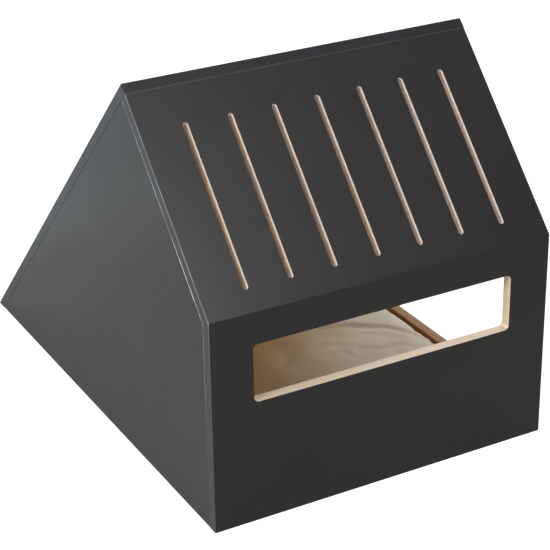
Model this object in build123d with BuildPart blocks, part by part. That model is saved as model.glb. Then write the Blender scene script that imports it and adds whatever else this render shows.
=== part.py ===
from build123d import *
import math
import os

# A cat house: boards of one thickness make a tent-shaped cabin, open on its right side,
# and a loose cushion lies on the floor. Millimetres, +Z up, front towards -Y, right towards +X.
# The origin is on the ground, under the middle of the house.

# Whole house
house_width = 400.0
house_depth = 600.0
ridge_height = 424.0
rear_slope = 45.0  # degrees, between the ground and the rear roof panel
front_height = 237.0  # ground to the knee, where the front wall turns into the roof
board = 12.0
arris_width = 0.5  # sharp edges of the boards' visible ends are eased by this much
overrun = 2.0  # every cutting body runs this far past the face that it cuts

# Window in the front wall
window_width = 305.0
window_height = 64.0
window_bottom = 137.5
window_corner = 5.5

# Light slots in the front roof panel
slot_count = 7
slot_pitch = 50.0
slot_width = 6.0
slot_length = 180.0
slot_from_knee = 23.5

# Threshold board across the open side
sill_height = 29.0

# Dowels, and the tongue that holds the mitred knee
dowel_diameter = 6.0
dowel_in_face = 8.0
dowel_in_edge = 14.0
dowel_side_gap = 0.08
dowel_end_gap = 0.5
dowel_chamfer = 0.8
joint_margin = 40.0  # from each end of a joint to its first dowel
tongue_thickness = 4.0
tongue_reach = 6.5  # into each of the two boards
tongue_side_gap = 0.08
tongue_end_gap = 0.5
tongue_stop = 24.0  # from each end of the knee to the tongue
tongue_seat_share = 0.57  # along the mitre, from the outer corner

# Cushion
cushion_height = 58.0
cushion_side_gap = 9.0  # to the left side and to the threshold
cushion_front_gap = 6.0
cushion_rest_gap = 0.3
cushion_lift = 26.0  # straight up, before its rear edge meets the rear roof panel
cushion_lift_gap = 3.7  # kept there, behind the edge band, for the swell above the band
cushion_corner = 30.0
cushion_draw = 6.0  # how far the front and the sides pull in; the zip keeps the rear straight
seam_height = 25.0  # above the cushion's underside
edge_band = 16.0  # upright rolled edge, half of it above the seam
corner_growth_share = 0.15  # of the inset, by which corners get rounder towards the crown
cloth_thickness = 0.8
filling_gap = 0.3

crown_steps = 8  # levels between the edge band and the crown
top_reach_share = 0.82  # of half the width, over which the top swells to its full height
bottom_reach_share = 0.16

# Zip in the cushion's rear edge
zip_margin = 59.0  # from each side of the cushion
zip_opening = 11.0
zip_row_height = 1.9
zip_row_thickness = 2.0
zip_row_gap = 1.2
zip_stop_length = 2.5
zip_stop_proud = 0.2
slider_length = 9.0
slider_height = 9.0
slider_wing = 1.0
slider_web_length = 3.0
slider_web = 0.7
slider_gap = 0.3
slider_lip = 1.0
slider_parked_gap = 0.5
bridge_width = 1.4
bridge_length = 6.0
bridge_thickness = 1.2
pull_thickness = 1.2
pull_width = 5.0
pull_length = 17.0
pull_eye_gap = 0.5
pull_eye_reach = 4.6  # from the pivot to the far end of the eye
pull_corner = 1.2

# Side view of the boards, as points with X = 0
slope = math.radians(rear_slope)
front_y = -house_depth / 2
rear_y = house_depth / 2
inner_front_y = front_y + board
rear_up = Vector(0, -math.cos(slope), math.sin(slope))
rear_in = Vector(0, -math.sin(slope), -math.cos(slope))
knee = Vector(0, front_y, front_height)
foot = Vector(0, rear_y, 0)
ridge = Vector(0, rear_y - ridge_height / math.tan(slope), ridge_height)
roof_top = ridge + rear_in * board
roof_up = (roof_top - knee).normalized()
roof_in = Vector(0, roof_up.Z, -roof_up.Y)
roof_length = (roof_top - knee).length
mitre_angle = math.atan2(roof_up.Y, roof_up.Z) / 2
mitre_in = Vector(0, math.cos(mitre_angle), -math.sin(mitre_angle))
mitre_down = Vector(0, -math.sin(mitre_angle), -math.cos(mitre_angle))
mitre_length = board / math.cos(mitre_angle)
inner_knee = knee + mitre_in * mitre_length
to_rear = (roof_top - inner_knee).dot(rear_in) / roof_up.dot(rear_in)
inner_ridge = inner_knee + roof_up * to_rear
inner_foot = foot - Vector(0, board / math.sin(slope), 0)


def rear_face_y(height):
    """Where the rear panel's inner face stands at a height."""
    return inner_foot.Y - height / math.tan(slope)


def board_outline(*corners):
    """Points of a side-view outline, as the sketch plane of the house's side wants them."""
    return [(corner.Y, corner.Z) for corner in corners]


# Dowelled joints. Each has a seat: a plane on the face that a board's edge meets, centred on
# the dowels, with its x along the joint and its normal running into that board's edge.
side_x = -house_width / 2 + board / 2
sill_x = house_width / 2 - board / 2
floor_front = Vector(0, inner_front_y, board / 2)
floor_rear = Vector(0, rear_face_y(board / 2), board / 2)
floor_middle_y = (inner_front_y + rear_face_y(board)) / 2
floor_width = house_width - 2 * board
front_wall_rise = inner_knee.Z
along_x = (1, 0, 0)
along_y = (0, 1, 0)
along_z = (0, 0, 1)
to_front = (0, -1, 0)
in_side = Vector(side_x, 0, 0)
ridge_seat = (roof_top + inner_ridge) / 2
side_roof_seat = in_side + (inner_knee + inner_ridge) / 2
side_rear_seat = in_side + (inner_ridge + inner_foot) / 2

joints = {
    "ridge_dowels": (Plane(ridge_seat, along_x, rear_in), house_width, 5),
    "side_front_dowels": (
        Plane((side_x, inner_front_y, front_wall_rise / 2), along_z, along_y), front_wall_rise, 3),
    "side_roof_dowels": (
        Plane(side_roof_seat, roof_up, roof_in), (inner_ridge - inner_knee).length, 3),
    "side_rear_dowels": (
        Plane(side_rear_seat, rear_up, rear_in), (inner_ridge - inner_foot).length, 5),
    "floor_front_dowels": (Plane(floor_front, along_x, along_y), floor_width, 4),
    "floor_rear_dowels": (Plane(floor_rear, along_x, to_front), floor_width, 4),
    "floor_side_dowels": (
        Plane((-floor_width / 2, floor_middle_y, board / 2), along_y, along_x),
        rear_face_y(board) - inner_front_y, 5),
    "floor_sill_dowels": (
        Plane((floor_width / 2, floor_middle_y, board / 2), along_y, (-1, 0, 0)),
        rear_face_y(board) - inner_front_y, 5),
    "sill_front_dowel": (
        Plane((sill_x, inner_front_y, sill_height / 2), along_z, along_y), sill_height, 1),
    "sill_rear_dowel": (
        Plane((sill_x, rear_face_y(sill_height / 2), sill_height / 2), along_z, to_front),
        sill_height, 1),
}


def dowel_spots(length, count):
    """Even places along a joint, the same margin from both its ends."""
    return GridLocations((length - 2 * joint_margin) / max(count - 1, 1), 0, count, 1)


def joint_bores(seat, length, count):
    """The holes of one joint, through both boards at once."""
    with BuildPart() as bores:
        with BuildSketch(seat.offset(-dowel_in_face)):
            with dowel_spots(length, count):
                Circle(dowel_diameter / 2 + dowel_side_gap)
        extrude(amount=dowel_in_face + dowel_in_edge)
    return bores.part


bores = {name: joint_bores(*joint) for name, joint in joints.items()}

# Groove and tongue of the knee, square to the mitre
tongue_plane = Plane(knee + mitre_in * (mitre_length * tongue_seat_share), along_x, mitre_down)
tongue_length = house_width - 2 * tongue_stop
with BuildPart() as knee_groove:
    with BuildSketch(tongue_plane):
        Rectangle(tongue_length + 2 * tongue_end_gap, tongue_thickness + 2 * tongue_side_gap)
    extrude(amount=tongue_reach + tongue_end_gap, both=True)

# Front wall: upright, mitred at the knee, with the long window
with BuildPart() as front_panel:
    with BuildSketch(Plane.YZ):
        with BuildLine():
            Polyline(board_outline(
                Vector(0, front_y, 0), Vector(0, inner_front_y, 0), inner_knee, knee), close=True)
        make_face()
    extrude(amount=house_width / 2, both=True)
    with BuildSketch(Plane.XZ.offset(-inner_front_y - overrun)):
        with Locations((0, window_bottom + window_height / 2)):
            RectangleRounded(window_width, window_height, window_corner)
    extrude(amount=board + 2 * overrun, mode=Mode.SUBTRACT)
    end_edges = front_panel.edges().filter_by(Axis.Z).group_by(Axis.X)
    chamfer(end_edges[0] + end_edges[-1], length=arris_width)
    add(knee_groove.part, mode=Mode.SUBTRACT)
    for joint in ("side_front_dowels", "floor_front_dowels", "sill_front_dowel"):
        add(bores[joint], mode=Mode.SUBTRACT)
front_panel.part.label = "front_panel"

# Front roof panel: from the knee to the rear panel's inner face, with the light slots
roof_plane = Plane((knee + roof_top) / 2, along_x, -roof_in)
with BuildPart() as front_roof_panel:
    with BuildSketch(Plane.YZ):
        with BuildLine():
            Polyline(board_outline(knee, inner_knee, inner_ridge, roof_top), close=True)
        make_face()
    extrude(amount=house_width / 2, both=True)
    roof_ends = front_roof_panel.edges().filter_by(Axis(knee, roof_up)).group_by(Axis.X)
    chamfer(roof_ends[0] + roof_ends[-1], length=arris_width)
    with BuildSketch(roof_plane.offset(-board - overrun)):
        with Locations((0, slot_from_knee + slot_length / 2 - roof_length / 2)):
            with GridLocations(slot_pitch, 0, slot_count, 1):
                SlotOverall(slot_length, slot_width, rotation=90)
    extrude(amount=board + 2 * overrun, mode=Mode.SUBTRACT)
    add(knee_groove.part, mode=Mode.SUBTRACT)
    for joint in ("ridge_dowels", "side_roof_dowels"):
        add(bores[joint], mode=Mode.SUBTRACT)
front_roof_panel.part.label = "front_roof_panel"

# Rear roof panel: from the ridge to the ground, square at the ridge and level at its foot
with BuildPart() as rear_roof_panel:
    with BuildSketch(Plane.YZ):
        with BuildLine():
            Polyline(board_outline(ridge, roof_top, inner_foot, foot), close=True)
        make_face()
    extrude(amount=house_width / 2, both=True)
    rear_ends = rear_roof_panel.edges().filter_by(Axis(foot, rear_up)).group_by(Axis.X)
    ridge_edges = rear_roof_panel.edges().filter_by(Axis.X).group_by(Axis.Z)
    chamfer(rear_ends[0] + rear_ends[-1] + ridge_edges[-1], length=arris_width)
    for joint in ("ridge_dowels", "side_rear_dowels", "floor_rear_dowels", "sill_rear_dowel"):
        add(bores[joint], mode=Mode.SUBTRACT)
rear_roof_panel.part.label = "rear_roof_panel"

# Left side: one board inside the frame of the other three, flush with their ends
with BuildPart() as left_side_panel:
    with BuildSketch(Plane.YZ.offset(-house_width / 2)):
        with BuildLine():
            Polyline(board_outline(
                Vector(0, inner_front_y, 0), inner_foot, inner_ridge, inner_knee), close=True)
        make_face()
    extrude(amount=board)
    chamfer(left_side_panel.faces().sort_by(Axis.X)[0].edges(), length=arris_width)
    for joint in ("side_front_dowels", "side_roof_dowels", "side_rear_dowels", "floor_side_dowels"):
        add(bores[joint], mode=Mode.SUBTRACT)
left_side_panel.part.label = "left_side_panel"

# Floor: between the side and the threshold, its rear edge cut to the slope
with BuildPart() as floor_panel:
    with BuildSketch(Plane.YZ):
        with BuildLine():
            Polyline(board_outline(
                Vector(0, inner_front_y, 0), inner_foot, Vector(0, rear_face_y(board), board),
                Vector(0, inner_front_y, board)), close=True)
        make_face()
    extrude(amount=floor_width / 2, both=True)
    for joint in ("floor_front_dowels", "floor_rear_dowels", "floor_side_dowels", "floor_sill_dowels"):
        add(bores[joint], mode=Mode.SUBTRACT)
floor_panel.part.label = "floor_panel"

# Threshold of the open side, from the front wall to the rear panel
with BuildPart() as entry_sill:
    with BuildSketch(Plane.YZ.offset(house_width / 2)):
        with BuildLine():
            Polyline(board_outline(
                Vector(0, inner_front_y, 0), inner_foot,
                Vector(0, rear_face_y(sill_height), sill_height),
                Vector(0, inner_front_y, sill_height)), close=True)
        make_face()
    extrude(amount=-board)
    sill_arrises = entry_sill.edges().filter_by(Axis.Y).group_by(Axis.Z)[-1]
    chamfer(sill_arrises, length=arris_width)
    for joint in ("floor_sill_dowels", "sill_front_dowel", "sill_rear_dowel"):
        add(bores[joint], mode=Mode.SUBTRACT)
entry_sill.part.label = "entry_sill"

# Tongue in the knee
with BuildPart() as knee_tongue:
    with BuildSketch(tongue_plane):
        Rectangle(tongue_length, tongue_thickness)
    extrude(amount=tongue_reach, both=True)
knee_tongue.part.label = "knee_tongue"

house_parts = [
    front_panel, front_roof_panel, rear_roof_panel, left_side_panel, floor_panel, entry_sill,
    knee_tongue,
]

# Dowels, one node for each joint
dowel_length = dowel_in_face + dowel_in_edge - 2 * dowel_end_gap
for joint, (seat, length, count) in joints.items():
    with BuildPart() as dowels:
        with BuildSketch(seat.offset(dowel_end_gap - dowel_in_face)):
            with dowel_spots(length, count):
                Circle(dowel_diameter / 2)
        extrude(amount=dowel_length)
        chamfer(dowels.edges().filter_by(GeomType.CIRCLE), length=dowel_chamfer)
    dowels.part.label = joint
    house_parts.append(dowels)

# Cushion: a crowned, drawn-in form about its seam plane
cushion_floor = board + cushion_rest_gap
seam_z = cushion_floor + seam_height
cushion_front_y = inner_front_y + cushion_front_gap
cushion_rear_y = rear_face_y(seam_z + edge_band / 2 + cushion_lift) - cushion_lift_gap
cushion_width = floor_width - 2 * cushion_side_gap
cushion_depth = cushion_rear_y - cushion_front_y
cushion_y = (cushion_front_y + cushion_rear_y) / 2
zip_length = cushion_width - 2 * zip_margin
zip_face_y = cushion_rear_y
zip_half = zip_length / 2
top_crown = cushion_height - seam_height - edge_band / 2
bottom_crown = seam_height - edge_band / 2


def pillow_outline(plane, inset):
    """The cushion's outline drawn in by an inset: hollow at its front and sides, straight behind."""
    half_x = cushion_width / 2 - inset
    half_y = cushion_depth / 2 - inset
    scale = half_x / (cushion_width / 2)
    corner = cushion_corner * scale + inset * corner_growth_share
    draw = cushion_draw * scale
    turn = corner * (1 - math.sqrt(1 / 2))
    with BuildSketch(plane) as outline:
        with BuildLine():
            for side in (1, -1):
                ThreePointArc((side * half_x, corner - half_y), (side * (half_x - draw), 0),
                              (side * half_x, half_y - corner))
                ThreePointArc((side * half_x, half_y - corner), (side * (half_x - turn), half_y - turn),
                              (side * (half_x - corner), half_y))
                ThreePointArc((side * half_x, corner - half_y), (side * (half_x - turn), turn - half_y),
                              (side * (half_x - corner), -half_y))
            Line((corner - half_x, half_y), (half_x - corner, half_y))
            ThreePointArc((corner - half_x, -half_y), (0, draw - half_y), (half_x - corner, -half_y))
        make_face()
    return outline.sketch


def pillow_half(skin, crown, reach_share, up):
    """One half of the cushion's form, from the seam plane, with a skin taken off all over.

    Past the edge band it swells along a quarter of an ellipse.
    """
    seam = Plane((0, cushion_y, seam_z), along_x, (0, 0, up))
    with BuildPart() as half:
        add(pillow_outline(Plane((0, cushion_y, seam_z)), skin))
        extrude(amount=edge_band / 2, dir=seam.z_dir)
        levels = []
        for step in range(crown_steps + 1):
            angle = math.radians(90 * step / crown_steps)
            height = up * (edge_band / 2 + math.sin(angle) * (crown - skin))
            inset = skin + (1 - math.cos(angle)) * reach_share * cushion_width / 2
            levels.append(pillow_outline(Plane((0, cushion_y, seam_z + height)), inset))
        loft(sections=[level.face() for level in levels], ruled=True)
    return half.part


def zip_cutter(half_length, height, depth, reach):
    """A slot along the rear edge, from a depth inside the face to a reach behind it."""
    with BuildPart() as cutter:
        with BuildSketch(Plane((0, zip_face_y - depth, seam_z), along_x, along_y)):
            Rectangle(2 * half_length, height)
        extrude(amount=depth + reach)
    return cutter.part


zip_slot = zip_cutter(zip_half, zip_opening, cloth_thickness + overrun / 2, overrun)
upper_form = pillow_half(0, top_crown, top_reach_share, 1)
upper_hollow = pillow_half(cloth_thickness, top_crown, top_reach_share, 1)
lower_form = pillow_half(0, bottom_crown, bottom_reach_share, -1)
lower_hollow = pillow_half(cloth_thickness, bottom_crown, bottom_reach_share, -1)

with BuildPart() as cushion_top_cover:
    add(upper_form)
    add(upper_hollow, mode=Mode.SUBTRACT)
    add(zip_slot, mode=Mode.SUBTRACT)
cushion_top_cover.part.label = "cushion_top_cover"

with BuildPart() as cushion_bottom_cover:
    add(lower_form)
    add(lower_hollow, mode=Mode.SUBTRACT)
    add(zip_slot, mode=Mode.SUBTRACT)
cushion_bottom_cover.part.label = "cushion_bottom_cover"

# Filling: one soft block inside both covers, hollowed behind the zip for the slider's inner wing
row_inner = zip_row_thickness / 2 + cloth_thickness / 2
wing_room = row_inner + slider_gap + slider_wing + slider_gap
with BuildPart() as cushion_filling:
    add(pillow_half(cloth_thickness + filling_gap, top_crown, top_reach_share, 1))
    add(pillow_half(cloth_thickness + filling_gap, bottom_crown, bottom_reach_share, -1))
    add(zip_cutter(zip_half + edge_band / 2, zip_opening + 2 * slider_gap, wing_room, overrun),
        mode=Mode.SUBTRACT)
cushion_filling.part.label = "cushion_filling"

# Zip. Its cross-section lies in planes square to X; the rows' middle is the tape's middle.
zip_y = zip_face_y - cloth_thickness / 2
row_outer_z = zip_row_gap / 2 + zip_row_height
row_reach = zip_half - zip_stop_length


def zip_strip(start_x, end_x, low_z, high_z, thickness):
    """Two level strips, mirrored about the seam, between two places along the zip."""
    with BuildPart() as strips:
        with BuildSketch(Plane.YZ.offset(start_x)):
            for side in (1, -1):
                with Locations((zip_y, seam_z + side * (low_z + high_z) / 2)):
                    Rectangle(thickness, high_z - low_z)
        extrude(amount=end_x - start_x)
    return strips.part


with BuildPart() as zip_tapes:
    add(zip_strip(-zip_half, zip_half, row_outer_z, zip_opening / 2, cloth_thickness))
zip_tapes.part.label = "zip_tapes"

with BuildPart() as zip_rows:
    add(zip_strip(-row_reach, row_reach, zip_row_gap / 2, row_outer_z, zip_row_thickness))
zip_rows.part.label = "zip_rows"

# End stops: one block across both rows where the slider parks open, two where it parks closed
stop_thickness = zip_row_thickness + 2 * zip_stop_proud
with BuildPart() as zip_stops:
    with BuildSketch(Plane.YZ.offset(-zip_half)):
        with Locations((zip_y, seam_z)):
            Rectangle(stop_thickness, 2 * row_outer_z)
    extrude(amount=zip_stop_length)
    add(zip_strip(row_reach, zip_half, zip_row_gap / 2, row_outer_z, stop_thickness))
zip_stops.part.label = "zip_stops"

# Slider, parked closed at the open side of the house. It wraps both rows: an outer and an
# inner wing joined by a web between the rows, with lips over the rows' edges.
slider_x = row_reach - slider_parked_gap - slider_length / 2
wing_y = zip_row_thickness / 2 + slider_gap
lip_z = row_outer_z + slider_gap
bridge_room = slider_gap + pull_thickness + slider_gap
bridge_y = zip_y + wing_y + slider_wing
with BuildPart() as zip_slider:
    with BuildSketch(Plane.YZ.offset(slider_x - slider_length / 2)):
        for side in (1, -1):
            with Locations((zip_y + side * (wing_y + slider_wing / 2), seam_z)):
                Rectangle(slider_wing, slider_height)
            for edge in (1, -1):
                lip_middle = lip_z + slider_lip / 2
                with Locations((zip_y + side * (wing_y - slider_gap / 2), seam_z + edge * lip_middle)):
                    Rectangle(slider_gap, slider_lip)
    extrude(amount=slider_length)
    with BuildSketch(Plane.YZ.offset(slider_x + slider_length / 2 - slider_web_length)):
        with Locations((zip_y, seam_z)):
            Rectangle(2 * wing_y, slider_web)
    extrude(amount=slider_web_length)
    wing_corners = zip_slider.edges().filter_by(Axis.Y).filter_by(
        lambda edge: abs(abs(edge.center().Z - seam_z) - slider_height / 2) < slider_gap)
    fillet(wing_corners, radius=slider_length / 5)
    with BuildSketch(Plane.XY.offset(seam_z - bridge_width / 2)):
        with Locations((slider_x, bridge_y + (bridge_room + bridge_thickness) / 2)):
            Rectangle(bridge_length, bridge_room + bridge_thickness)
        with Locations((slider_x, bridge_y + bridge_room / 2)):
            Rectangle(bridge_length - 2 * bridge_thickness, bridge_room, mode=Mode.SUBTRACT)
    extrude(amount=bridge_width)
zip_slider.part.label = "zip_slider"

# Pull: a flat tab whose eye goes round the bridge. It turns about the round bar at the eye's
# end and lies along the zip, over its closed length.
pivot_y = bridge_y + slider_gap + pull_thickness / 2
bar_radius = pull_thickness / 2
eye_height = bridge_width + 2 * pull_eye_gap
grip_gap = (pull_width - eye_height) / 2
with BuildPart() as zip_pull:
    with BuildSketch(Plane.XZ.offset(-pivot_y - bar_radius)):
        with Locations((slider_x - pull_length / 2, seam_z)):
            Rectangle(pull_length, pull_width)
        with Locations((slider_x - (bar_radius + pull_eye_reach) / 2, seam_z)):
            Rectangle(pull_eye_reach - bar_radius, eye_height, mode=Mode.SUBTRACT)
        with Locations((slider_x - pull_length + 2 * grip_gap, seam_z)):
            SlotCenterToCenter(grip_gap, grip_gap, rotation=90, mode=Mode.SUBTRACT)
    extrude(amount=pull_thickness)
    fillet(zip_pull.edges().filter_by(Axis.Y).group_by(Axis.X)[0], radius=pull_corner)
    with BuildSketch(Plane.XY.offset(seam_z - pull_width / 2)):
        with Locations((slider_x, pivot_y)):
            Circle(bar_radius)
    extrude(amount=pull_width)
zip_pull.part.label = "zip_pull"

cushion_parts = [
    cushion_top_cover, cushion_bottom_cover, cushion_filling, zip_tapes, zip_rows, zip_stops,
    zip_slider, zip_pull,
]

os.makedirs("parts", exist_ok=True)
for piece in house_parts + cushion_parts:
    export_step(piece.part, f"parts/{piece.part.label}.step")

# Travel of the loose pieces, for whoever sets their joints
print("cushion depth", round(cushion_depth, 1), "and lift", cushion_lift)
print("slider travel", round(2 * (row_reach - slider_parked_gap) - slider_length, 1))
print("pull pivot", round(slider_x, 3), round(pivot_y, 3), round(seam_z, 3))
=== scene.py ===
import math

import bpy
import numpy as np
from mathutils import Matrix, Vector


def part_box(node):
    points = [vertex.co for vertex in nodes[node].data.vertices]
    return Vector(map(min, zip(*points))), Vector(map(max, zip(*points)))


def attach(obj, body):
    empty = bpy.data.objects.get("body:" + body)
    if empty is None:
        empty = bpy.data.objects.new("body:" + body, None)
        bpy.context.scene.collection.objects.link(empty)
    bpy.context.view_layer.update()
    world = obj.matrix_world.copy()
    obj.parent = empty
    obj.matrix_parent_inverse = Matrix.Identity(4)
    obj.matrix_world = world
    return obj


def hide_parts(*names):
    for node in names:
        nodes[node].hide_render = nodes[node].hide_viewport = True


# Looks of a wooden cat house: charcoal lacquered boards with bare wood inside and in the cut
# edges, and a loose sand-coloured cushion with a zip behind. Metres, +Z up, front towards -Y.

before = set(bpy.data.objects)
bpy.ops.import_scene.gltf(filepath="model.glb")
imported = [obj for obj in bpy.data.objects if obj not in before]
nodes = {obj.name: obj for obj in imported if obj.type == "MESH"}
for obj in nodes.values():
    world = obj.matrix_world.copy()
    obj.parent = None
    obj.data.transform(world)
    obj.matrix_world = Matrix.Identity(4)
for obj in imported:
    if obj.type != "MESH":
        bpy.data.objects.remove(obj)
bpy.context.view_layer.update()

# Camera
camera_place = (-0.8627, -1.6546, 1.0194)
camera_azimuth = 28.506  # degrees, from +Y towards +X
camera_dip = 25.901
camera_roll = -0.962
camera_lens = 117.21  # mm
camera_sensor = 36  # mm, square

# Boards
half_width = 0.2
board = 0.012
arris = 0.0005
roof_outward = Vector((0, -0.72883, 0.68469))
rear_outward = Vector((0, math.sqrt(0.5), math.sqrt(0.5)))
front_outward = Vector((0, -1, 0))
left_outward = Vector((-1, 0, 0))
right_outward = Vector((1, 0, 0))
knee = Vector((0, -0.3, 0.237))
foot = Vector((0, 0.3, 0))
roof_top = Vector((0, -0.132485, 0.415515))
knee_corner = Vector((-half_width, knee.y, knee.z))
ridge_band_low = 0.409
ridge_front = (-0.1236, -0.1230)  # Y, where the ridge's joint shows in front of the rear panel
joint_highlight_reach = (0.0003, 0.0008)  # from the joint, where the painted highlight along it is full and where it ends
plies = 7
same_way = 0.999  # cosine between two directions that count as one
same_place = 1e-5
tiny = 1e-9  # keeps a length above nothing
eased = (0.6, 0.8)  # how far an arris at 45 degrees faces along one axis

# Heights between which the arrises' bare share and darkening change, and distances from the knee's rubbed
# corner
bare_fades = (0.25, 0.39)
least_bare = 0.08  # the share of bare wood left above that
bare_below_knee = 0.22
knee_wears = (0.229, 0.236)
ground_fades = (0.06, 0.22)
corner_wears = (0.0015, 0.004)

# Grain as noise scales: the board's length runs across the house, up, or to the rear
grain_across = (8, 90, 90)
grain_up = (90, 90, 8)
grain_rearward = (90, 8, 90)
dowel_grain = (30, 300, 300)

# Coats
charcoal = (0.0107, 0.0104, 0.0104)
band_coat = (0.0105, 0.0108, 0.0128)
end_coat = (0.025, 0.029, 0.0345)
# The colour of a painted highlight along the ridge's joint
joint_highlight_coat = (0.036, 0.034, 0.036)
# A lighter bluish coat on the outer arrises: a painted sheen
arris_sheen_coat = (0.070, 0.075, 0.088)
worn_bare = (0.18, 0.18, 0.19)
seam_coat = (0.10, 0.10, 0.098)
seam_bare = (0.80, 0.70, 0.60)

# Wood, tape and metal, each as two tones
slot_tones = (0.74, 0.64, 0.56), (0.67, 0.55, 0.455)
# The front panel's cut wood is darker than the same wood elsewhere, a painted shade, and its window jambs
# lighter, a painted light
window_shaded_tones = (0.42, 0.357, 0.288), (0.368, 0.30, 0.225)
jamb_lit_tones = (0.66, 0.55, 0.40), (0.585, 0.465, 0.32)
inner_tones = (0.62, 0.41, 0.20), (0.53, 0.33, 0.155)
# The sill's wood is darker and warmer than the other bare wood: a painted shade on its top
sill_shaded_tones = (0.36, 0.195, 0.08), (0.30, 0.16, 0.06)
dowel_tones = (0.68, 0.5, 0.33), (0.55, 0.38, 0.22)
tape_tones = (0.58, 0.49, 0.38), (0.45, 0.37, 0.28)
tooth_tones = (0.62, 0.53, 0.42), (0.5, 0.42, 0.32)
brass_tones = (0.6, 0.48, 0.28), (0.42, 0.32, 0.18)

# Cushion
cushion_half_x = 0.179
cushion_front = -0.282
cushion_rear = 0.208029
cushion_rest = 0.0123
cushion_crown = 0.0703
seam_height = 0.0373
flat_half_x = 0.1855  # before filling, cut sizes of the two covers
flat_length = 0.500
cushion_corner = 0.034
grid_x = 80
grid_y = 108

# The seam round the cushion, and the zip in it
seam_lip = 0.0009  # half of the covers' distance at the rim
zip_half = 0.120
zip_lip = 0.0056  # the same along the zip
zip_taper = 0.012  # past the zip's ends, where its lips close
zip_recess = 0.2046  # Y, how deep the zip's pocket goes
zip_tape_edge = 0.00552  # half of the pocket's height
seam_groove = 0.0012
seam_share = 1 / 14  # of the lips' height, from each cover to the groove
groove_lip = 0.25  # of the groove's depth
strip_step = 0.0005  # between the groove's rows on the flat sheet, so that they keep their weave
second_sheet = 0.5  # how far beside the upper cover's flat sheet the lower one's lies
tooth_pitch = 0.0016
tooth_gap = 0.0006
tooth_width = 0.62  # of the pitch
tooth_shift = 0.25  # of the pitch, one way in the upper row and the other way in the lower
tooth_ease = 0.86  # what the outer layers of a tooth keep of its width
tip_ease = 0.93  # and of its height
tooth_bevel = 0.3  # of half the row's thickness
# A tooth's outline, as shares of its width and of its height towards the other row
tooth_profile = ((-0.5, 0.0), (-0.5, 0.55), (-0.28, 1.0), (0.28, 1.0), (0.5, 0.55), (0.5, 0.0))

# How the covers are filled and shaped
flat_swell = 0.006  # of each cover before filling
fill_frames = 20
fill_pressure = 3.5
seam_gather = 0.03
under_swell = 1.15
floor_power = 6  # how squarely the underside turns flat on the floor
calm_y = -0.125  # the middle of the band where small creases are eased
calm_reach = 0.085
calm_edge = 0.03  # from the cushion's sides, where that begins
calm_rounds = 24
calm_share = 0.75
side_draw = 0.035  # of the half width, between the corners
draw_power = 3

# Cotton
cotton_light = (0.81, 0.778, 0.68)
cotton_dark = (0.755, 0.71, 0.60)
# The yellower tone of a painted warm shade on the cotton
cotton_shade_tone = (0.735, 0.565, 0.28)
cotton_shade_reach = (0.05, 0.20)  # rightwards and forwards, over which the painted warm shade gives way to the cotton's own colour
cotton_thread = 0.0011

# Each long fold: its path across the top, then how far its ridge rises, its valley sinks, its width
long_folds = (
    (((0.035, -0.080), (0.0586, -0.0876), (0.0727, -0.0907), (0.0851, -0.0978), (0.0975, -0.1056),
      (0.1116, -0.1164), (0.1258, -0.1278), (0.1381, -0.1374), (0.1505, -0.1442), (0.1611, -0.1495)),
     0.0030, 0.0012, 0.0042),
    (((0.0798, -0.1117), (0.0869, -0.1195), (0.0957, -0.1272), (0.1028, -0.1349), (0.1067, -0.1442)),
     0.0005, 0.0008, 0.0060),
    (((0.0091, -0.1303), (0.0162, -0.1257), (0.0250, -0.1216), (0.0356, -0.1210), (0.0462, -0.1241),
      (0.0558, -0.1278)), 0.0009, 0.0012, 0.0055),
    (((0.0558, -0.1473), (0.0650, -0.1473), (0.0734, -0.1519), (0.0826, -0.1575), (0.0922, -0.1600),
      (0.1010, -0.1575), (0.1099, -0.1597), (0.1169, -0.1662), (0.1240, -0.1782)),
     0.0009, 0.0009, 0.0045),
    (((0.0416, -0.1396), (0.0438, -0.1504), (0.0466, -0.1643)), 0.0004, 0.0007, 0.0055),
    (((0.0013, -0.1042), (-0.0068, -0.1115), (-0.0149, -0.1200), (-0.0245, -0.1292), (-0.0351, -0.1380),
      (-0.0492, -0.1460)), 0.0006, 0.0019, 0.0085),
    (((-0.0110, -0.1160), (-0.0180, -0.1230), (-0.0260, -0.1305), (-0.0345, -0.1375)),
     0.0008, 0.0026, 0.0085),
)
ridge_gain = 1.6  # brings a ridge to its height in spite of its far slope
ridge_run = 3.5  # in widths, how far that slope runs out

# Stage
floor_reach = 8.0
floor_drop = 0.0002
floor_albedo = 0.8
seen_albedo = 0.36
glow_rises = (0.9, 3.0)  # from the object, where the floor's own glow for the camera grows
least_glow = 0.82
mirrored_floor_shade = (1.0, 0.98, 0.93), 0.43, 0.38  # colour, glow and albedo in the object's reflections; dimmer and warmer than the far kind, a painted shade on the floor by the house
far_mirrored = (0.93, 1.0, 1.04), 0.70, 0.50
mirror_turns = (0.40, 0.47)  # Y, where the near kind turns into the far one
horizon_light = 0.06
zenith_light = 1.05
sky_rises = (0.70, 1.0)  # the upward part of a direction, from horizon light to zenith light
mirrored_sky = 0.75
# Each lamp: name, place, aim, size, watts, colour
lamps = (
    ("key", (-1.75, -0.75, 1.35), (0, 0, 0.2), 1.0, 45, (0.95, 0.98, 1.0)),
    ("softbox", (0.0, -1.13, 1.5), (-0.1, -0.25, 0.27), 0.5, 22, (1.0, 1.0, 1.0)),
    ("low_card", (-0.95, 0.6, 0.6), (-0.2, 0.05, 0.3), 0.4, 0.4, (0.72, 0.88, 1.0)),
    ("open_side", (1.35, 0.95, 1.35), (0.1, -0.1, 0.05), 0.8, 20, (1.0, 0.99, 0.98)),
)


def linked(name, data):
    """A new object in the scene."""
    item = bpy.data.objects.new(name, data)
    bpy.context.scene.collection.objects.link(item)
    return item


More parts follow.
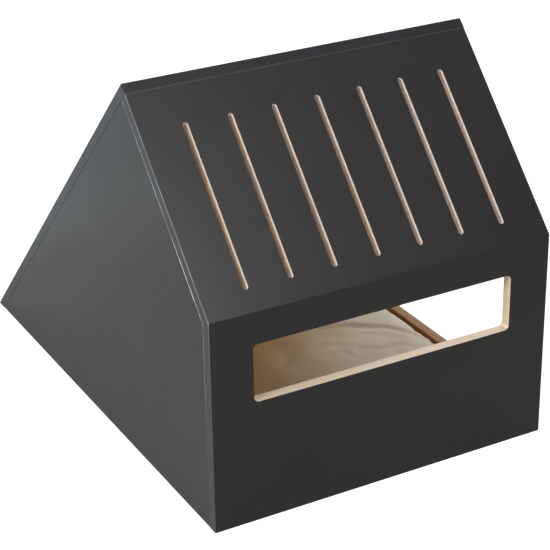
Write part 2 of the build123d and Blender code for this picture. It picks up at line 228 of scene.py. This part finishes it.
def make_camera():
    azimuth, dip, roll = (math.radians(a) for a in (camera_azimuth, camera_dip, camera_roll))
    ahead = Vector((math.sin(azimuth) * math.cos(dip), math.cos(azimuth) * math.cos(dip), -math.sin(dip)))
    level = Vector((math.cos(azimuth), -math.sin(azimuth), 0))
    upward = level.cross(ahead)
    right = math.cos(roll) * level + math.sin(roll) * upward
    above = math.cos(roll) * upward - math.sin(roll) * level
    turn = Matrix((right, above, -ahead)).transposed().to_4x4()
    data = bpy.data.cameras.new("camera")
    data.lens = camera_lens
    data.sensor_width = camera_sensor
    camera = linked("camera", data)
    camera.matrix_world = Matrix.Translation(camera_place) @ turn
    bpy.context.scene.camera = camera


# Material helpers: noise scales count features in a metre, bump distances are in metres
def new_material(name):
    material = bpy.data.materials.new(name)
    material.use_nodes = True
    return material, material.node_tree, material.node_tree.nodes["Principled BSDF"]


def fill_sockets(tree, sockets, values):
    """Links each socket to another node's output, or gives it a plain value."""
    for socket, value in zip(sockets, values):
        if isinstance(value, bpy.types.NodeSocket):
            tree.links.new(value, socket)
        else:
            socket.default_value = value


def set_inputs(tree, node, inputs):
    fill_sockets(tree, [node.inputs[key] for key in inputs], inputs.values())


def add_node(tree, kind, inputs=None, **settings):
    node = tree.nodes.new(kind)
    for key, value in settings.items():
        setattr(node, key, value)
    set_inputs(tree, node, inputs or {})
    return node


def rgba(colour, share=1.0):
    return (*[share * c for c in colour], 1.0)


def object_place(tree):
    return add_node(tree, "ShaderNodeTexCoord").outputs["Object"]


def on_axis(tree, place, axis):
    return add_node(tree, "ShaderNodeSeparateXYZ", {"Vector": place}).outputs[axis]


def stretched(tree, place, scale):
    return add_node(tree, "ShaderNodeMapping", {"Vector": place, "Scale": scale}).outputs["Vector"]


def noise(tree, place, scale, detail, roughness):
    node = add_node(tree, "ShaderNodeTexNoise",
                    {"Vector": place, "Scale": scale, "Detail": detail, "Roughness": roughness})
    return node.outputs["Fac"]


def mapped(tree, value, low, high, to_low, to_high):
    node = add_node(tree, "ShaderNodeMapRange", {"Value": value, "From Min": low, "From Max": high,
                                                "To Min": to_low, "To Max": to_high})
    return node.outputs["Result"]


def spread(tree, value, to_low=0.0, to_high=1.0):
    """Noise, which keeps near the middle of its range, spread over a whole one."""
    return mapped(tree, value, 0.3, 0.7, to_low, to_high)


def mixed(tree, share, first, second):
    node = add_node(tree, "ShaderNodeMix", data_type="RGBA")
    fill_sockets(tree, [s for s in node.inputs if s.enabled], (share, first, second))
    return [s for s in node.outputs if s.enabled][0]


def math_node(tree, operation, first, second=0.0, third=0.0):
    node = add_node(tree, "ShaderNodeMath", operation=operation)
    fill_sockets(tree, node.inputs, (first, second, third))
    return node.outputs["Value"]


def vector_node(tree, operation, first, second=(0, 0, 0)):
    node = add_node(tree, "ShaderNodeVectorMath", {0: first, 1: second}, operation=operation)
    measures = operation in ("DOT_PRODUCT", "DISTANCE", "LENGTH")
    return node.outputs["Value" if measures else "Vector"]


def bumped(tree, height, strength, distance, normal=None):
    inputs = {"Height": height, "Strength": strength, "Distance": distance}
    if normal is not None:
        inputs["Normal"] = normal
    return add_node(tree, "ShaderNodeBump", inputs).outputs["Normal"]


# Materials
def joint_highlight(tree, place):
    """A painted highlight along the joint in front of the ridge, in uneven lengths."""
    depth = vector_node(tree, "DOT_PRODUCT", place, rear_outward)
    from_joint = math_node(tree, "SUBTRACT", depth, roof_top.dot(rear_outward))
    near_joint = mapped(tree, math_node(tree, "ABSOLUTE", from_joint), *joint_highlight_reach, 1.0, 0.0)
    at_ridge = mapped(tree, on_axis(tree, place, "Y"), *ridge_front, 1.0, 0.0)
    uneven = mapped(tree, noise(tree, place, 30, 3, 0.6), 0.3, 0.6, 0.4, 0.9)
    return math_node(tree, "MULTIPLY", math_node(tree, "MULTIPLY", near_joint, at_ridge), uneven)


def lacquer_material(name, colour, roughness, specular):
    """Satin charcoal lacquer: faint mottling, a fine sprayed texture and slightly uneven gloss."""
    material, tree, shader = new_material(name)
    place = object_place(tree)
    cloudy = spread(tree, noise(tree, place, 6, 4, 0.5))
    tint = mixed(tree, cloudy, rgba(colour, 0.94), rgba(colour, 1.06))
    speck = mapped(tree, noise(tree, place, 620, 2, 0.6), 0.62, 0.78, 0.0, 0.3)
    tint = mixed(tree, speck, tint, rgba(colour, 2.0))
    grain = noise(tree, stretched(tree, place, (6, 160, 160)), 1.0, 3, 0.6)
    normal = bumped(tree, grain, 0.05, 0.0003)
    # The base colour carries a painted highlight along the ridge's joint
    set_inputs(tree, shader, {
        "Base Color": mixed(tree, joint_highlight(tree, place), tint, rgba(joint_highlight_coat)),
        "Roughness": spread(tree, noise(tree, place, 24, 4, 0.6), roughness - 0.015, roughness + 0.02),
        "Specular IOR Level": specular,
        "Normal": bumped(tree, noise(tree, place, 900, 2, 0.5), 0.08, 0.0002, normal),
    })
    return material


def worn_and_sheen_material(name, coat, bare, coverage):
    """An eased edge: a lighter coat, which on the outer arrises is a painted sheen, and pale wood in
    uneven lengths where the lacquer has rubbed thin.

    It is most bare on the roof just above the knee, where the corner is rubbed through, less bare
    towards the ridge, and darker towards the ground, where it turns to the end coat.
    """
    material, tree, shader = new_material(name)
    place = object_place(tree)
    patches = noise(tree, place, 26, 5, 0.65)
    share = mapped(tree, patches, coverage - 0.12, coverage + 0.12, 1.0, 0.0)
    height = on_axis(tree, place, "Z")
    share = math_node(tree, "MULTIPLY", share, mapped(tree, height, *bare_fades, 1.0, least_bare))
    share = math_node(tree, "MULTIPLY", share, mapped(tree, height, *knee_wears, bare_below_knee, 1.0))
    from_corner = vector_node(tree, "DISTANCE", place, knee_corner)
    rubbed = mapped(tree, from_corner, *corner_wears, 1.0, 0.0)
    colour = mixed(tree, math_node(tree, "MAXIMUM", share, rubbed), rgba(coat), rgba(bare))
    # Darker towards the ground, where the edge turns to the end coat
    above_ground = mapped(tree, height, *ground_fades, 0.0, 1.0)
    set_inputs(tree, shader, {
        "Base Color": mixed(tree, above_ground, rgba(end_coat), colour),
        "Roughness": spread(tree, patches, 0.38, 0.6),
        "Normal": bumped(tree, noise(tree, place, 700, 3, 0.6), 0.25, 0.0002),
    })
    return material


def wood_material(name, pale, warm, along, across=None, offset=0.0):
    """Bare sanded board: long soft grain, fine pores, and the thin plies that a cut edge shows."""
    material, tree, shader = new_material(name)
    place = object_place(tree)
    grain = noise(tree, stretched(tree, place, along), 1.0, 6, 0.62)
    fine = noise(tree, stretched(tree, place, [5 * s for s in along]), 1.0, 3, 0.7)
    colour = mixed(tree, spread(tree, grain), rgba(pale), rgba(warm))
    pores = mapped(tree, fine, 0.60, 0.75, 0.0, 0.30)
    colour = mixed(tree, pores, colour, rgba(warm, 0.62))
    if across is not None:
        depth = vector_node(tree, "DOT_PRODUCT", place, across)
        ply = math_node(tree, "MULTIPLY_ADD", depth, plies / board, offset)
        wave = math_node(tree, "SINE", math_node(tree, "MULTIPLY", ply, math.pi))
        colour = mixed(tree, mapped(tree, wave, 0.5, 1.0, 0.0, 0.22), colour, rgba(warm, 0.7))
    set_inputs(tree, shader, {
        "Base Color": colour,
        "Roughness": spread(tree, fine, 0.55, 0.72),
        "Specular IOR Level": 0.3,
        "Normal": bumped(tree, fine, 0.2, 0.0003),
    })
    return material


def crossing_threads(tree, sheet, thread):
    """Warp and weft as waves on the flat cloth, which wander a little."""
    wobble = add_node(tree, "ShaderNodeTexNoise", {"Vector": sheet, "Scale": 35.0, "Detail": 2.0})
    shift = vector_node(tree, "MULTIPLY", wobble.outputs["Color"], (0.0016, 0.0016, 0.0))
    bent = vector_node(tree, "ADD", sheet, shift)
    waves = 2 * math.pi / thread
    warp = math_node(tree, "SINE", math_node(tree, "MULTIPLY", on_axis(tree, bent, "X"), waves))
    weft = math_node(tree, "SINE", math_node(tree, "MULTIPLY", on_axis(tree, bent, "Y"), waves))
    return math_node(tree, "MULTIPLY", warp, weft)


def fabric_material(name, light, dark, shade_tone, fade, thread):
    """Plain woven cotton: crossing threads, slubs, a soft nap, uneven dye, and a painted warm shade
    towards the rear left.
    """
    material, tree, shader = new_material(name)
    sheet = add_node(tree, "ShaderNodeUVMap", uv_map="sheet").outputs["UV"]
    place = object_place(tree)
    weave = crossing_threads(tree, sheet, thread)
    slubs = noise(tree, stretched(tree, sheet, (60, 900, 1)), 1.0, 3, 0.7)
    slubs_across = noise(tree, stretched(tree, sheet, (900, 60, 1)), 1.0, 3, 0.7)
    threads = math_node(tree, "ADD", slubs, slubs_across)
    colour = mixed(tree, spread(tree, noise(tree, place, 14, 4, 0.6)), rgba(light), rgba(dark))
    # A painted warm shade towards the rear left, away from the open side and the window
    towards_light = math_node(tree, "SUBTRACT", on_axis(tree, place, "X"), on_axis(tree, place, "Y"))
    colour = mixed(tree, mapped(tree, towards_light, *fade, 1.0, 0.0), colour, rgba(shade_tone))
    colour = mixed(tree, mapped(tree, threads, 0.8, 1.25, 0.0, 0.35), colour, rgba(dark, 0.78))
    colour = mixed(tree, mapped(tree, weave, -1.0, 1.0, 0.16, 0.0), colour, rgba(dark, 0.6))
    creases = noise(tree, stretched(tree, sheet, (26, 18, 1)), 1.0, 3, 0.55)
    normal = bumped(tree, creases, 0.35, 0.004)
    normal = bumped(tree, threads, 0.30, 0.0004, normal)
    set_inputs(tree, shader, {
        "Base Color": colour,
        "Roughness": 0.9,
        "Specular IOR Level": 0.2,
        "Sheen Weight": 0.25,
        "Sheen Roughness": 0.5,
        "Normal": bumped(tree, weave, 0.35, 0.0003, normal),
    })
    return material


def metal_material(name, colour, tarnish):
    """Dull brass with darker tarnish in patches and fine scratches."""
    material, tree, shader = new_material(name)
    place = object_place(tree)
    patches = noise(tree, place, 150, 3, 0.5)
    tarnished = mapped(tree, patches, 0.4, 0.65, 0.0, 1.0)
    scratch = noise(tree, stretched(tree, place, (400, 4000, 4000)), 1.0, 2, 0.6)
    set_inputs(tree, shader, {
        "Base Color": mixed(tree, tarnished, rgba(colour), rgba(tarnish)),
        "Metallic": 1.0,
        "Roughness": spread(tree, patches, 0.28, 0.5),
        "Normal": bumped(tree, scratch, 0.08, 0.0001),
    })
    return material


def tape_material(name, light, dark):
    """Herringbone zip tape."""
    material, tree, shader = new_material(name)
    place = object_place(tree)
    ribs = add_node(tree, "ShaderNodeTexWave", {"Vector": place, "Scale": 520.0, "Distortion": 1.0},
                    wave_type="BANDS", bands_direction="DIAGONAL").outputs["Fac"]
    fibre = noise(tree, place, 1500, 2, 0.6)
    colour = mixed(tree, ribs, rgba(light), rgba(dark))
    set_inputs(tree, shader, {
        "Base Color": mixed(tree, mapped(tree, fibre, 0.4, 0.7, 0.0, 0.3), colour, rgba(dark, 0.7)),
        "Roughness": 0.85,
        "Normal": bumped(tree, ribs, 0.5, 0.0002),
    })
    return material


# Painting the boards
def all_over(node, material):
    mesh = nodes[node].data
    mesh.materials.clear()
    mesh.materials.append(material)


def finish_of(face, outward, face_offset):
    """Which finish a board's face has, by where it lies on the board."""
    centre, normal = face.center, face.normal
    facing = normal.dot(outward)
    if facing > same_way and centre.dot(outward) > face_offset - same_place:
        return "lacquer"
    if abs(normal.x) > same_way and abs(centre.x) > half_width - same_place:
        return "lacquer" if outward == left_outward else "end"
    if normal.z < -same_way and centre.z < same_place:
        return "end"
    at_end = abs(centre.x) > half_width - 1.1 * arris
    on_arris = at_end and eased[0] < abs(normal.x) < eased[1]
    on_ridge_band = outward == rear_outward and normal.z > 0.4 and centre.z > ridge_band_low
    if on_ridge_band:
        return "worn_and_sheen" if on_arris and centre.x < 0 else "band"
    # The window's side faces take a lighter copy of the front panel's cut wood, a painted light
    in_window_end = outward == front_outward and not at_end and abs(normal.x) > 0.7
    if in_window_end:
        return "jamb"
    if not on_arris:
        return "inner" if facing < -same_way else "cut"
    if outward == left_outward:
        return "seam" if normal.y < -0.1 else "worn_and_sheen"
    if facing > 0:
        return "worn_and_sheen"
    return "seam" if centre.x < 0 and outward != rear_outward else "end"


def paint_board(node, outward, face_offset, finishes):
    """Gives each of a board's faces its finish, of those that the board can have."""
    mesh = nodes[node].data
    mesh.materials.clear()
    for material in finishes.values():
        mesh.materials.append(material)
    order = list(finishes)
    for face in mesh.polygons:
        face.material_index = order.index(finish_of(face, outward, face_offset))


def paint_boards():
    coats = {
        "lacquer": lacquer_material("charcoal_lacquer", charcoal, 0.35, 0.17),
        "band": lacquer_material("charcoal_band", band_coat, 0.42, 0.14),
        "end": lacquer_material("charcoal_ends", end_coat, 0.42, 0.16),
        "worn_and_sheen": worn_and_sheen_material("worn_and_sheen_arris", arris_sheen_coat, worn_bare, 0.36),
        "seam": worn_and_sheen_material("seam_arris", seam_coat, seam_bare, 0.50),
        "jamb": wood_material("window_jambs_lit", *jamb_lit_tones, grain_across, front_outward,
                              -knee.dot(front_outward) * plies / board),
    }
    boards = (
        ("front_panel", front_outward, knee, grain_across, window_shaded_tones, inner_tones),
        ("front_roof_panel", roof_outward, knee, grain_across, slot_tones, inner_tones),
        ("rear_roof_panel", rear_outward, foot, grain_across, slot_tones, inner_tones),
        ("left_side_panel", left_outward, half_width * left_outward, grain_up, slot_tones, inner_tones),
        ("entry_sill", right_outward, half_width * right_outward, grain_rearward, sill_shaded_tones, sill_shaded_tones),
    )
    for node, outward, on_face, along, cut_tones, raw_tones in boards:
        offset = on_face.dot(outward)
        cut = wood_material("cut_" + node, *cut_tones, along, outward, -offset * plies / board)
        inner = wood_material("inner_" + node, *raw_tones, along)
        paint_board(node, outward, offset, {**coats, "cut": cut, "inner": inner})
    all_over("floor_panel", wood_material("wood_floor", *inner_tones, grain_rearward))
    dowel_wood = wood_material("wood_joint", *dowel_tones, dowel_grain)
    for node in nodes:
        if "dowel" in node or node == "knee_tongue":
            all_over(node, dowel_wood)


# Making the cushion
def rounded(x, y, half_x, half_y, corner):
    """Places on rectangles of every size, moved onto rectangles with round corners."""
    level = np.maximum(np.abs(x) / half_x, np.abs(y) / half_y)
    level = np.maximum(level, tiny)
    edge = np.stack((x / level, y / level), -1)
    core = np.array((half_x - corner, half_y - corner))
    inner = np.clip(edge, -core, core)
    out = edge - inner
    length = np.linalg.norm(out, axis=-1, keepdims=True)
    return (inner + corner * out / np.maximum(length, tiny)) * level[..., None]


def rim_indices(size_x, size_y):
    """Grid places round the edge, once round, as (column, row)."""
    rim = [(i, 0) for i in range(size_x)]
    rim += [(size_x, j) for j in range(size_y)]
    rim += [(i, size_y) for i in range(size_x, 0, -1)]
    rim += [(0, j) for j in range(size_y, 0, -1)]
    return rim


def zip_share(x):
    """1 along the zip, falling to 0 past its ends."""
    return np.clip((zip_half + zip_taper - np.abs(x)) / zip_taper, 0, 1)


def flat_covers():
    """The two covers laid flat on each other, open by the zip's width along the zip."""
    u = np.linspace(-1, 1, grid_x + 1) * flat_half_x
    v = np.linspace(-1, 1, grid_y + 1) * flat_length / 2
    x, y = np.meshgrid(u, v, indexing="ij")
    place = rounded(x, y, flat_half_x, flat_length / 2, cushion_corner)
    middle = cushion_rear - flat_length / 2
    swell = (1 - (x / flat_half_x) ** 4) * (1 - (y * 2 / flat_length) ** 4)
    lip = np.full_like(x, seam_lip)
    lip[:, -1] = seam_lip + (zip_lip - seam_lip) * zip_share(x[:, -1])
    height = np.maximum(lip, flat_swell * swell)
    top = np.stack((place[..., 0], place[..., 1] + middle, seam_height + height), -1)
    bottom = top * (1, 1, -1) + (0, 0, 2 * seam_height)
    return top, bottom, np.stack((x, y), -1)


def grid_numbers(shape):
    return np.arange(shape[0] * shape[1]).reshape(shape)


def cover_faces(number):
    """The faces of the upper cover, then those of the lower one, whose places follow the upper's."""
    a, b, c, d = number[:-1, :-1], number[1:, :-1], number[1:, 1:], number[:-1, 1:]
    upper = np.stack((a, b, c, d), -1).reshape(-1, 4)
    lower = np.stack((a, d, c, b), -1).reshape(-1, 4) + number.size
    return upper.tolist() + lower.tolist()


def covers_piece(top, bottom, number, rim):
    """A closed piece of the two covers, joined by one strip round the rim."""
    strip = [(p, p + number.size, q + number.size, q) for p, q in zip(rim, rim[1:] + rim[:1])]
    mesh = bpy.data.meshes.new("filling_covers")
    places = np.concatenate((top.reshape(-1, 3), bottom.reshape(-1, 3)))
    mesh.from_pydata(places.tolist(), [], cover_faces(number) + strip)
    mesh.update()
    return linked("filling_covers", mesh)


def add_cloth(piece):
    cloth = piece.modifiers.new("cloth", "CLOTH")
    cloth.settings.quality = 6
    cloth.settings.mass = 0.12
    cloth.settings.tension_stiffness = 50
    cloth.settings.compression_stiffness = 15
    cloth.settings.shear_stiffness = 6
    cloth.settings.bending_stiffness = 0.3
    cloth.settings.air_damping = 2
    cloth.settings.use_pressure = True
    cloth.settings.uniform_pressure_force = fill_pressure
    cloth.settings.vertex_group_mass = "held"
    cloth.settings.vertex_group_shrink = "gathered"
    cloth.settings.shrink_max = seam_gather
    cloth.settings.effector_weights.gravity = 0
    cloth.point_cache.frame_start = 1
    cloth.point_cache.frame_end = fill_frames


def fill_covers(top, bottom):
    """Blows the covers up as cloth with the zip held, and returns their new places."""
    number = grid_numbers(top.shape[:2])
    rim = [int(number[place]) for place in rim_indices(grid_x, grid_y)]
    zip_row = [int(number[i, grid_y]) for i in range(grid_x + 1) if abs(top[i, grid_y, 0]) < zip_half]
    piece = covers_piece(top, bottom, number, rim)
    for name, upper in (("held", zip_row), ("gathered", rim)):
        group = piece.vertex_groups.new(name=name)
        group.add(upper + [n + number.size for n in upper], 1.0, "REPLACE")
    add_cloth(piece)
    for step in range(1, fill_frames + 1):
        bpy.context.scene.frame_set(step)
    solved = piece.evaluated_get(bpy.context.evaluated_depsgraph_get())
    places = np.empty(len(solved.data.vertices) * 3)
    solved.data.vertices.foreach_get("co", places)
    bpy.data.objects.remove(piece)
    bpy.context.scene.frame_set(1)
    places = places.reshape(2, *top.shape)
    return places[0], places[1]


def fitted(top, bottom):
    """The filled covers brought to the CAD cushion's box, flat where they rest on the floor."""
    reach = max(np.abs(top[..., 0]).max(), np.abs(bottom[..., 0]).max())
    front = min(top[..., 1].min(), bottom[..., 1].min())
    swell = top[..., 2].max() - seam_height
    length = (cushion_rear - cushion_front) / (cushion_rear - front)
    for cover in (top, bottom):
        cover[..., 0] *= cushion_half_x / reach
        cover[..., 1] = cushion_rear - (cushion_rear - cover[..., 1]) * length
    top[..., 2] = seam_height + (top[..., 2] - seam_height) * (cushion_crown - seam_height) / swell
    drop = np.maximum(seam_height - bottom[..., 2], same_place) * under_swell
    most = seam_height - cushion_rest
    bottom[..., 2] = seam_height - (drop ** -floor_power + most ** -floor_power) ** (-1 / floor_power)
    return top, bottom


def blurred(grid, rounds):
    """Each place averaged with its neighbours, over and over."""
    for _ in range(rounds):
        padded = np.pad(grid, 1, mode="edge")
        across = padded[:-2, 1:-1] + padded[2:, 1:-1] + padded[1:-1, :-2] + padded[1:-1, 2:]
        grid = (grid * 4 + across) / 8
    return grid


def calmed(top, bottom):
    """Small creases eased across the middle, and the long sides drawn in between their corners."""
    x, y = top[..., 0], top[..., 1]
    inside = np.clip((cushion_half_x - np.abs(x)) / calm_edge, 0, 1)
    middle = np.exp(-((y - calm_y) / calm_reach) ** 4) * inside
    top[..., 2] += calm_share * middle * (blurred(top[..., 2], calm_rounds) - top[..., 2])
    centre = (cushion_front + cushion_rear) / 2
    for cover in (top, bottom):
        along = np.abs(cover[..., 1] - centre) / (cushion_rear - centre)
        cover[..., 0] *= 1 - side_draw * (1 - np.clip(along, 0, 1) ** draw_power)
    return top, bottom


def doubled(grid):
    """The same surface with twice the places each way, as a smooth spline net."""
    for _ in range(2):
        fine = np.empty((2 * len(grid) - 1, *grid.shape[1:]))
        fine[1::2] = (grid[1:] + grid[:-1]) / 2
        fine[0::2] = grid
        fine[2:-1:2] = (grid[:-2] + 6 * grid[1:-1] + grid[2:]) / 8
        grid = fine.swapaxes(0, 1)
    return grid


def fold_rise(x, y, path, ridge, valley, width):
    """How far one long fold lifts the cloth: a valley along a path, and a ridge on its left."""
    place = np.stack((x, y), -1)
    nearest = np.full(x.shape, np.inf)
    side = np.zeros(x.shape)
    along = np.zeros(x.shape)
    spans = len(path) - 1
    for step, (start, end) in enumerate(zip(path, path[1:])):
        start, run = np.array(start), np.array(end) - np.array(start)
        share = np.clip(((place - start) @ run) / (run @ run), 0, 1)
        offset = place - start - share[..., None] * run
        distance = np.linalg.norm(offset, axis=-1)
        closer = distance < nearest
        nearest = np.where(closer, distance, nearest)
        side = np.where(closer, run[0] * offset[..., 1] - run[1] * offset[..., 0], side)
        along = np.where(closer, (step + share) / spans, along)
    signed = np.sign(side) * nearest
    fade = np.clip(along * (1 - along) * 4, 0, 1) ** 0.5
    beyond = np.maximum(signed, 0) / width
    rise = ridge * ridge_gain * (1 - np.exp(-beyond ** 2)) * np.exp(-beyond / ridge_run)
    return fade * (rise - valley * np.exp(-(signed / width) ** 2))


def folded(top):
    """The long folds that lie across the middle of the cushion."""
    x, y = top[..., 0].copy(), top[..., 1].copy()
    for path, ridge, valley, width in long_folds:
        top[..., 2] += fold_rise(x, y, path, ridge, valley, width)
    return top


def rim_rows(top, bottom, sheet, rim):
    """Rows of places in the groove between the covers, which opens into the zip's pocket."""
    size_x, size_y = top.shape[0] - 1, top.shape[1] - 1
    upper = np.array([top[i, j] for i, j in rim])
    lower = np.array([bottom[i, j] for i, j in rim])
    inside = np.array([top[min(max(i, 2), size_x - 2), min(max(j, 2), size_y - 2)] for i, j in rim])
    inward = inside - upper
    inward[:, 2] = 0
    inward /= np.maximum(np.linalg.norm(inward, axis=1, keepdims=True), tiny)
    behind = np.array([j == size_y for i, j in rim])
    share = np.where(behind, zip_share(upper[:, 0]), 0)[:, None]
    inward = inward * (1 - share) + np.array((0, -1, 0)) * share
    edge = seam_share * (1 - share) + (zip_lip - zip_tape_edge) / (2 * zip_lip) * share
    depth = seam_groove * (1 - share) + (cushion_rear - zip_recess) * share
    lip = groove_lip * depth * (1 - share)
    above, below = upper + edge * (lower - upper), lower + edge * (upper - lower)
    rows = [above + lip * inward, above + depth * inward, below + depth * inward, below + lip * inward]
    flat = np.array([sheet[i, j] for i, j in rim])
    return rows, [flat + strip_step * step for step in range(1, len(rows) + 1)]


def cushion_piece(top, bottom, sheet):
    """One closed mesh of the two covers and the rows between them, laid out flat as two sheets."""
    number = grid_numbers(top.shape[:2])
    rim = rim_indices(top.shape[0] - 1, top.shape[1] - 1)
    rows, row_sheets = rim_rows(top, bottom, sheet, rim)
    faces = cover_faces(number)
    edge = np.array([int(number[place]) for place in rim])
    between = 2 * number.size + np.arange(len(rows) * len(rim)).reshape(len(rows), len(rim))
    loops = [edge, *between, edge + number.size]
    for upper, lower in zip(loops, loops[1:]):
        following = np.roll(upper, -1), np.roll(lower, -1)
        faces += np.stack((upper, lower, following[1], following[0]), -1).tolist()
    places = np.concatenate([top.reshape(-1, 3), bottom.reshape(-1, 3), *rows])
    flat = sheet.reshape(-1, 2)
    flat = np.concatenate([flat, flat + (second_sheet, 0.0), *row_sheets])
    mesh = bpy.data.meshes.new("cushion_cover")
    mesh.from_pydata(places.tolist(), [], faces)
    corners = np.empty(len(mesh.loops), int)
    mesh.loops.foreach_get("vertex_index", corners)
    mesh.uv_layers.new(name="sheet").data.foreach_set("uv", flat[corners].ravel())
    mesh.polygons.foreach_set("use_smooth", [True] * len(mesh.polygons))
    mesh.update()
    return linked("cushion_cover", mesh)


def make_cushion():
    top, bottom, sheet = flat_covers()
    top, bottom = fill_covers(top, bottom)
    top, bottom = calmed(*fitted(top, bottom))
    top, bottom, sheet = doubled(top), doubled(bottom), doubled(sheet)
    cushion = cushion_piece(folded(top), bottom, sheet)
    cotton = fabric_material("sand_cotton", cotton_light, cotton_dark, cotton_shade_tone, cotton_shade_reach,
                             cotton_thread)
    cushion.data.materials.append(cotton)
    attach(cushion, "cushion")
    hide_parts("cushion_top_cover", "cushion_bottom_cover", "cushion_filling")


# Zip
def tooth_places(low, high, middle_x, side):
    """Four outlines of one tooth from its front to its back, the outer two eased."""
    middle_z = (low.z + high.z) / 2
    half_y = (high.y - low.y) / 2
    reach = high.z - middle_z
    places = []
    for y in (low.y, low.y + half_y * tooth_bevel, high.y - half_y * tooth_bevel, high.y):
        width, height = (tooth_ease, tip_ease) if y in (low.y, high.y) else (1.0, 1.0)
        for across, up in tooth_profile:
            x = middle_x + across * width * tooth_pitch * tooth_width
            z = middle_z + side * (reach - (reach - tooth_gap) * up * height)
            places.append((min(max(x, low.x), high.x), y, z))
    return places


def tooth_faces(first):
    """The faces between a tooth's outlines, and its two ends, from the number of its first place."""
    size = len(tooth_profile)
    faces = []
    for level in range(3):
        a, b = first + level * size, first + (level + 1) * size
        for p in range(size):
            q = (p + 1) % size
            faces.append((a + p, a + q, b + q, b + p))
    faces.append(tuple(first + p for p in range(size)))
    faces.append(tuple(first + 3 * size + p for p in reversed(range(size))))
    return faces


def make_zip_teeth(material):
    """Two rows of small moulded teeth in the place of the CAD's plain rows."""
    low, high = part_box("zip_rows")
    places, faces = [], []
    for side in (1, -1):
        for k in range(int((high.x - low.x) / tooth_pitch)):
            faces += tooth_faces(len(places))
            middle_x = low.x + (k + 0.5 + tooth_shift * side) * tooth_pitch
            places += tooth_places(low, high, middle_x, side)
    mesh = bpy.data.meshes.new("zip_teeth")
    mesh.from_pydata(places, [], faces)
    mesh.validate()
    mesh.materials.append(material)
    teeth = linked("zip_teeth", mesh)
    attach(teeth, "cushion")
    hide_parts("zip_rows")


def make_zip():
    all_over("zip_tapes", tape_material("tape_weave", *tape_tones))
    make_zip_teeth(tape_material("moulded_teeth", *tooth_tones))
    for node in ("zip_stops", "zip_slider", "zip_pull"):
        all_over(node, metal_material(node + "_brass", *brass_tones))


# Floor, world and lamps
def seen_directly(tree, path):
    """1 for a ray from the camera, also behind glass."""
    return math_node(tree, "MAXIMUM", path["Is Camera Ray"], path["Is Transmission Ray"])


def glowing_shader(tree, colour, strength, albedo):
    """White by itself where the light falls freely, darker in the object's shadow."""
    glow = add_node(tree, "ShaderNodeEmission", {"Color": rgba(colour), "Strength": strength})
    shade = add_node(tree, "ShaderNodeBsdfDiffuse", {"Color": rgba(colour, albedo)})
    return add_node(tree, "ShaderNodeAddShader", {0: glow.outputs[0], 1: shade.outputs[0]}).outputs[0]


def chosen_shader(tree, share, first, second):
    return add_node(tree, "ShaderNodeMixShader", {0: share, 1: first, 2: second}).outputs[0]


def floor_material():
    """White for the camera; in the object's reflections, a painted shade by the house and bluer further
    off; a plain pale floor for the light.
    """
    material = bpy.data.materials.new("pale_floor")
    material.use_nodes = True
    tree = material.node_tree
    tree.nodes.clear()
    path = add_node(tree, "ShaderNodeLightPath").outputs
    place = object_place(tree)
    away = vector_node(tree, "LENGTH", place)
    seen = glowing_shader(tree, (1, 1, 1), mapped(tree, away, *glow_rises, least_glow, 1.0), seen_albedo)
    further = mapped(tree, on_axis(tree, place, "Y"), *mirror_turns, 0.0, 1.0)
    # In reflections the floor by the house is dimmer and warmer: a painted shade
    near = glowing_shader(tree, *mirrored_floor_shade)
    mirrored = chosen_shader(tree, further, near, glowing_shader(tree, *far_mirrored))
    pale = add_node(tree, "ShaderNodeBsdfDiffuse", {"Color": rgba((1, 1, 1), floor_albedo)}).outputs[0]
    surface = chosen_shader(tree, seen_directly(tree, path), pale, seen)
    surface = chosen_shader(tree, path["Is Glossy Ray"], surface, mirrored)
    add_node(tree, "ShaderNodeOutputMaterial", {"Surface": surface})
    return material


def make_floor():
    mesh = bpy.data.meshes.new("floor")
    corners = [(i * floor_reach, j * floor_reach, 0) for i, j in ((-1, -1), (1, -1), (1, 1), (-1, 1))]
    mesh.from_pydata(corners, [], [(0, 1, 2, 3)])
    mesh.materials.append(floor_material())
    floor = linked("floor", mesh)
    floor.location.z = -floor_drop


def make_world():
    """Even white for the camera; as light on the object, dim near the horizon and bright overhead."""
    world = bpy.data.worlds.new("studio")
    world.use_nodes = True
    tree = world.node_tree
    tree.nodes.clear()
    path = add_node(tree, "ShaderNodeLightPath").outputs
    direction = add_node(tree, "ShaderNodeTexCoord").outputs["Generated"]
    ambient = mapped(tree, on_axis(tree, direction, "Z"), *sky_rises, horizon_light, zenith_light)
    strength = mapped(tree, seen_directly(tree, path), 0.0, 1.0, ambient, 1.0)
    strength = mapped(tree, path["Is Glossy Ray"], 0.0, 1.0, strength, mirrored_sky)
    sky = add_node(tree, "ShaderNodeBackground", {"Color": rgba((1, 1, 1)), "Strength": strength})
    add_node(tree, "ShaderNodeOutputWorld", {"Surface": sky.outputs[0]})
    bpy.context.scene.world = world


def make_lamp(name, place, target, size, power, colour):
    data = bpy.data.lights.new(name, "AREA")
    data.shape = "SQUARE"
    data.size = size
    data.energy = power
    data.color = colour
    lamp = linked(name, data)
    aim = Vector(target) - Vector(place)
    lamp.matrix_world = Matrix.Translation(place) @ aim.to_track_quat("-Z", "Y").to_matrix().to_4x4()
    lamp.visible_camera = False


def make_stage():
    make_floor()
    make_world()
    for lamp in lamps:
        make_lamp(*lamp)
    bpy.context.scene.view_settings.view_transform = "Standard"


make_camera()
make_stage()
paint_boards()
make_cushion()
make_zip()
